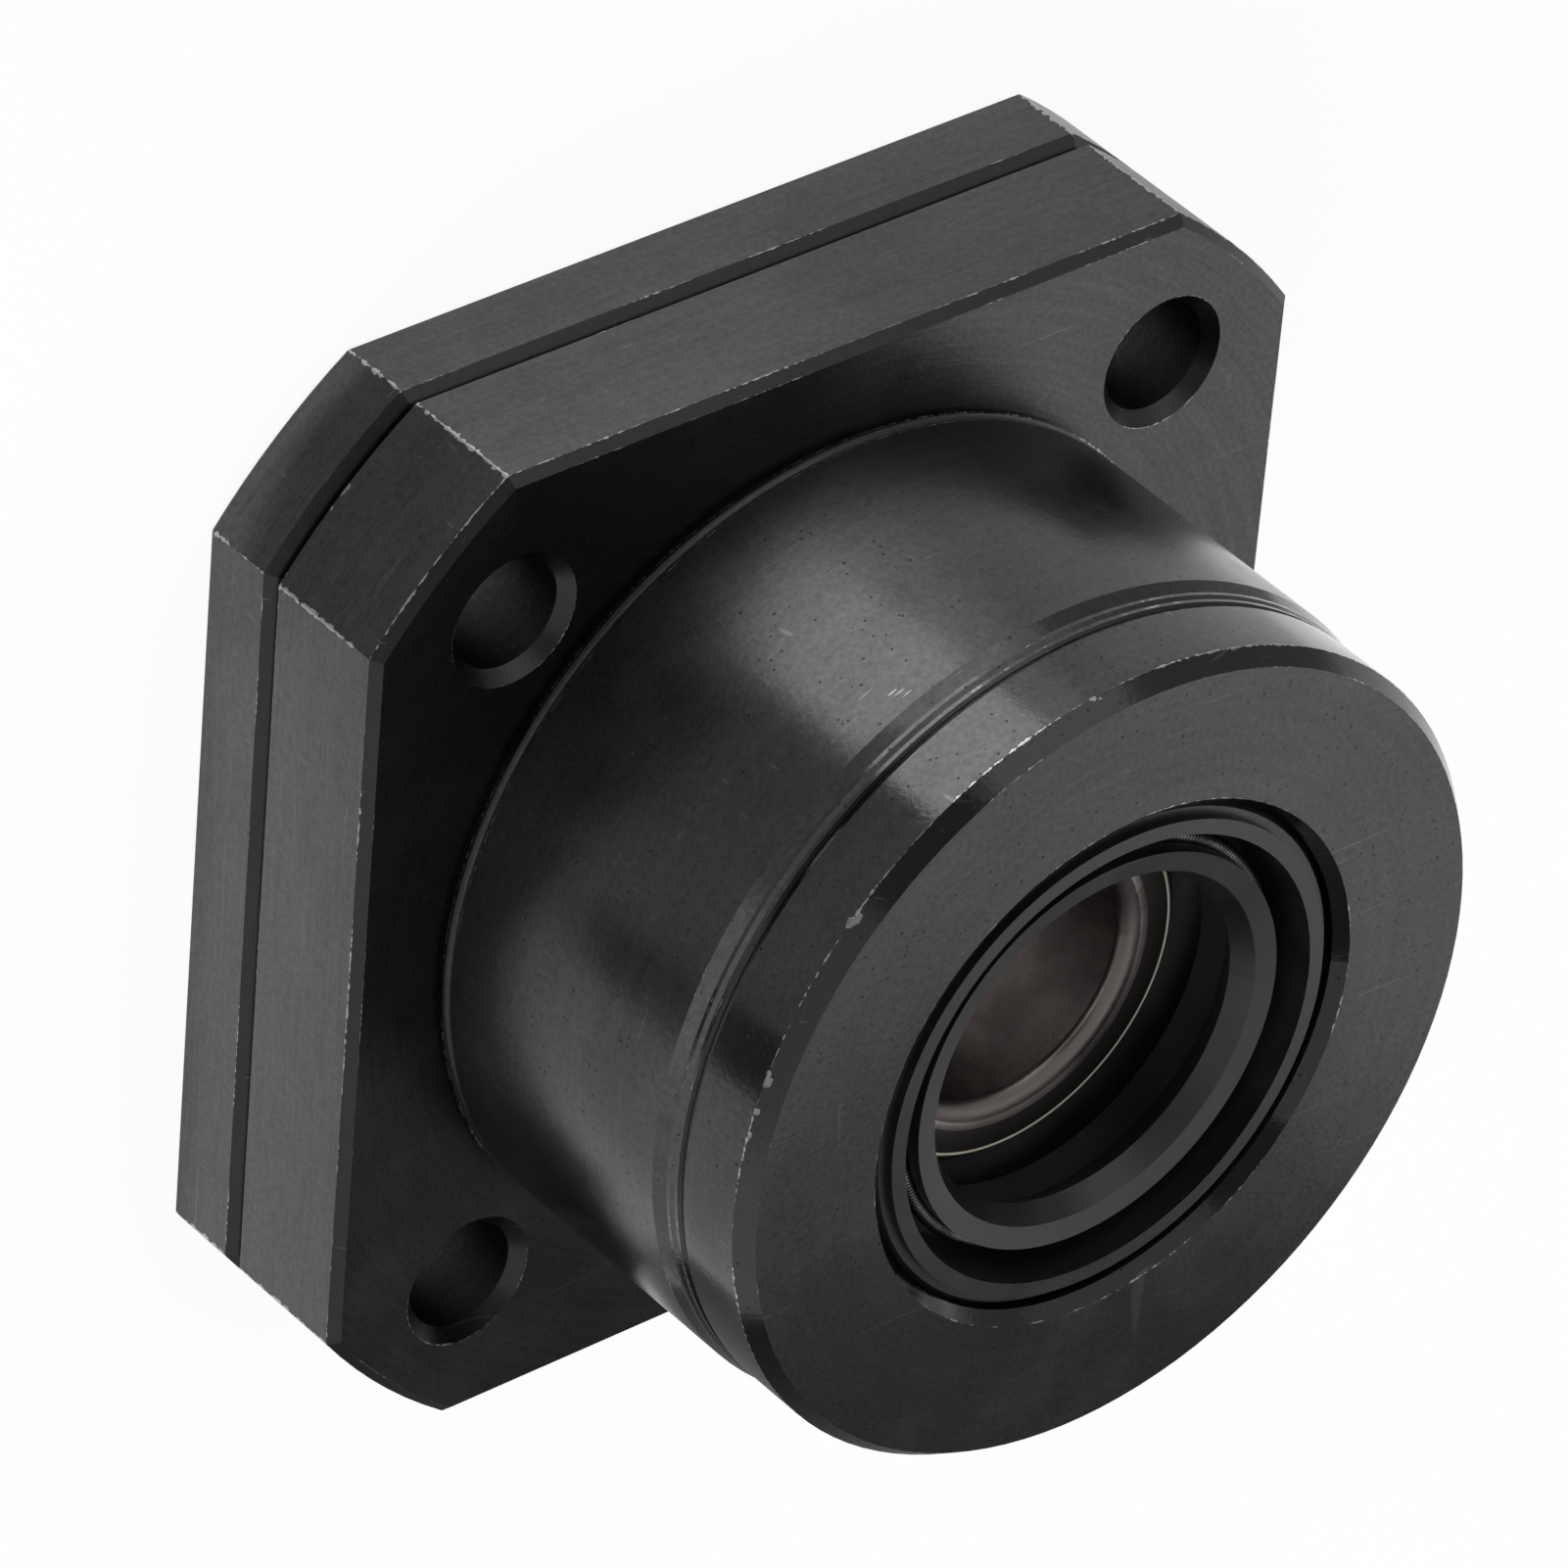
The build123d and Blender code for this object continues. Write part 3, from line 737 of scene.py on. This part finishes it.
# floor and light; the lamps light the rubber and the floor, steel shows the panels and cards, glowing pieces that
# are painted reflections
studio = {
    "floorSize": 3.0,
    "floorTone": (0.88, 0.91),
    "whiteShare": 0.92,
    "skyLevel": 0.6,
    # name, azimuth, elevation, distance, size, watts
    "boxes": (
        ("keyBox", 215, 42, 0.55, 0.42, 1.3),
        ("topBox", 60, 66, 0.60, 0.45, 0.9),
    ),
    # panels of a light tent, painted reflections that glow only for reflections: brightness, azimuths,
    # elevations, distance
    "panels": (
        ("tent", 0.62, (0, 360), (0, 90), 0.95),
        ("rearPanel", 1.05, (-100, 0), (8, 75), 0.90),
        ("leftPanel", 1.0, (155, 258), (0, 24), 0.90),
        ("rightPanel", 0.42, (5, 56), (0, 28), 0.90),
        ("cameraPanel", 0.22, (103, 139), (26, 42), 0.85),
        ("cameraTopPanel", 0.18, (108, 160), (42, 64), 0.85),
        ("softBox", 1.15, (60, 98), (0, 42), 0.85),
    ),
    # cards on the floor, and one upright, glowing only for reflections: dark ones are painted shade in the
    # reflections, bright ones painted reflections of light; brightness, then corners in millimetres
    "cards": (
        ("nearDark", 0.42, ((-15, 23, 0), (-15, 31, 0), (-35, 76, 0), (-75, 90, 0), (-70, 30, 0), (-66, -6, 0),
                            (-48, -3, 0), (-36.6, -0.1, 0), (-30, 10, 0), (-23, 16, 0), (-19, 19, 0))),
        ("rimDark", 0.14, ((-32, 6, 0.1), (-64, 9, 0.1), (-66, -9, 0.1), (-48, -5, 0.1), (-36, -1.5, 0.1))),
        ("leftGlow", 1.15, ((-21.5, -30, 0), (-21.5, 10, 0), (-27, 9, 0), (-30, -30, 0))),
        ("leftGrey", 0.80, ((-31, -5, 0), (-36, -1.5, 0), (-66, -9, 0), (-120, -25, 0), (-110, -80, 0),
                            (-30, -60, 0), (-26, -34, 0), (-31, -26, 0))),
        ("rightGrey", 0.84, ((4, 21.5, 0), (7, 32, 0), (24, 75, 0), (30, 62, 0), (50, 36, 0), (50, 9, 0),
                             (21.5, 9, 0), (21.5, 21.5, 0))),
        ("rightGlow", 1.15, ((24, -12, 0), (52, -14, 0), (50, 8, 0), (24, 8, 0))),
        ("farDark", 0.40, ((-35, 76, 0), (-62, 254, 0), (-190, 240, 0), (-236, 118, 0), (-72, 36, 0),
                           (-75, 90, 0))),
        ("rightDark", 0.36, ((50, 8, 0), (50, 36, 0), (30, 62, 0), (36, 85, 0), (88, 250, 0), (230, 150, 0),
                             (250, 20, 0))),
        ("stripLight", 2.6, ((-17, 33, 0), (-1, 33, 0), (11, 75, 0), (-34, 75, 0))),
        ("stripRight", 1.2, ((-1, 33, 0), (7, 35, 0), (22, 75, 0), (11, 75, 0))),
        ("stripFar", 1.5, ((-34, 75, 0), (20, 75, 0), (62, 250, 0), (-60, 250, 0))),
        ("rearCard", 0.15, ((-42, -60, 0), (60, -60, 0), (60, -60, 90), (-42, -60, 90))),
        ("rearFloor", 0.18, ((-24, -33, 0), (8, -34, 0), (60, -60, 0), (-26, -60, 0))),
    ),
}


def seenDirectly(tree):
    paths = tree.nodes.new("ShaderNodeLightPath").outputs
    seen = calc(tree, "MAXIMUM", paths["Is Camera Ray"], paths["Is Glossy Ray"])
    return calc(tree, "MAXIMUM", seen, paths["Is Transmission Ray"])


def makeFloor():
    shape = bmesh.new()
    bmesh.ops.create_circle(shape, cap_ends=True, segments=96, radius=studio["floorSize"] / 2)
    bmesh.ops.translate(shape, verts=shape.verts, vec=(0, 0, -0.05 * mm))
    mesh = bpy.data.meshes.new("floor")
    shape.to_mesh(mesh)
    shape.free()
    floor = bpy.data.objects.new("floor", mesh)
    bpy.context.scene.collection.objects.link(floor)
    material, tree, shader, position, normal = startMaterial("paperFloor")
    cloudy = noise(tree, position, 30.0, 3.0)
    tone = remap(tree, cloudy, 0.3, 0.7, *studio["floorTone"])
    tree.links.new(vectorOf(tree, tone, tone, tone), shader.inputs["Base Color"])
    shader.inputs["Roughness"].default_value = 0.9
    shader.inputs["Specular IOR Level"].default_value = 0.0
    glow = tree.nodes.new("ShaderNodeEmission")
    mixed = tree.nodes.new("ShaderNodeMixShader")
    tree.links.new(calc(tree, "MULTIPLY", seenDirectly(tree), studio["whiteShare"]), mixed.inputs[0])
    tree.links.new(shader.outputs[0], mixed.inputs[1])
    tree.links.new(glow.outputs[0], mixed.inputs[2])
    tree.links.new(mixed.outputs[0], tree.nodes["Material Output"].inputs["Surface"])
    mesh.materials.append(material)


# a glowing piece that only reflections show, a painted reflection that lights nothing else
def makeGlow(name, level, shape):
    mesh = bpy.data.meshes.new(name)
    shape.to_mesh(mesh)
    shape.free()
    card = bpy.data.objects.new(name, mesh)
    bpy.context.scene.collection.objects.link(card)
    material, tree, shader, position, normal = startMaterial(name)
    glow = tree.nodes.new("ShaderNodeEmission")
    glow.inputs["Strength"].default_value = level
    tree.links.new(glow.outputs[0], tree.nodes["Material Output"].inputs["Surface"])
    material.cycles.emission_sampling = "NONE"
    mesh.materials.append(material)
    card.visible_camera = False
    card.visible_diffuse = False
    card.visible_transmission = False
    card.visible_shadow = False


def makeCards():
    for name, level, outline in studio["cards"]:
        shape = bmesh.new()
        shape.faces.new([shape.verts.new((x * mm, y * mm, (z + 0.3) * mm)) for x, y, z in outline])
        makeGlow(name, level, shape)


def makePanels():
    middle = Vector((0, 0, 14 * mm))
    for name, level, turns, rises, distance in studio["panels"]:
        shape = bmesh.new()
        bmesh.ops.create_grid(shape, x_segments=36, y_segments=12, size=1)
        for corner in shape.verts:
            turn = radians(turns[0] + (turns[1] - turns[0]) * (corner.co.x + 1) / 2)
            rise = radians(rises[0] + (rises[1] - rises[0]) * (corner.co.y + 1) / 2)
            corner.co = middle + distance * Vector((cos(turn) * cos(rise), sin(turn) * cos(rise), sin(rise)))
        makeGlow(name, level, shape)


def makeSky():
    world = bpy.data.worlds.new("studio")
    bpy.context.scene.world = world
    world.use_nodes = True
    tree = world.node_tree
    sky = tree.nodes["Background"]
    sky.inputs["Color"].default_value = (1, 1, 1, 1)
    whiter = calc(tree, "MULTIPLY", seenDirectly(tree), 1 - studio["skyLevel"])
    tree.links.new(calc(tree, "ADD", studio["skyLevel"], whiter), sky.inputs["Strength"])


def makeLights():
    middle = Vector((0, 0, 14 * mm))
    for name, azimuth, elevation, distance, size, watts in studio["boxes"]:
        turn, rise = radians(azimuth), radians(elevation)
        towards = Vector((cos(turn) * cos(rise), sin(turn) * cos(rise), sin(rise)))
        lamp = bpy.data.lights.new(name, "AREA")
        lamp.shape = "DISK"
        lamp.size = size
        lamp.energy = watts
        light = bpy.data.objects.new(name, lamp)
        bpy.context.scene.collection.objects.link(light)
        light.location = middle + towards * distance
        light.rotation_mode = "QUATERNION"
        light.rotation_quaternion = towards.to_track_quat("Z", "Y")
        light.visible_camera = False
        light.visible_glossy = False


makeFloor()
makeCards()
makePanels()
makeSky()
makeLights()
print("studio lit")
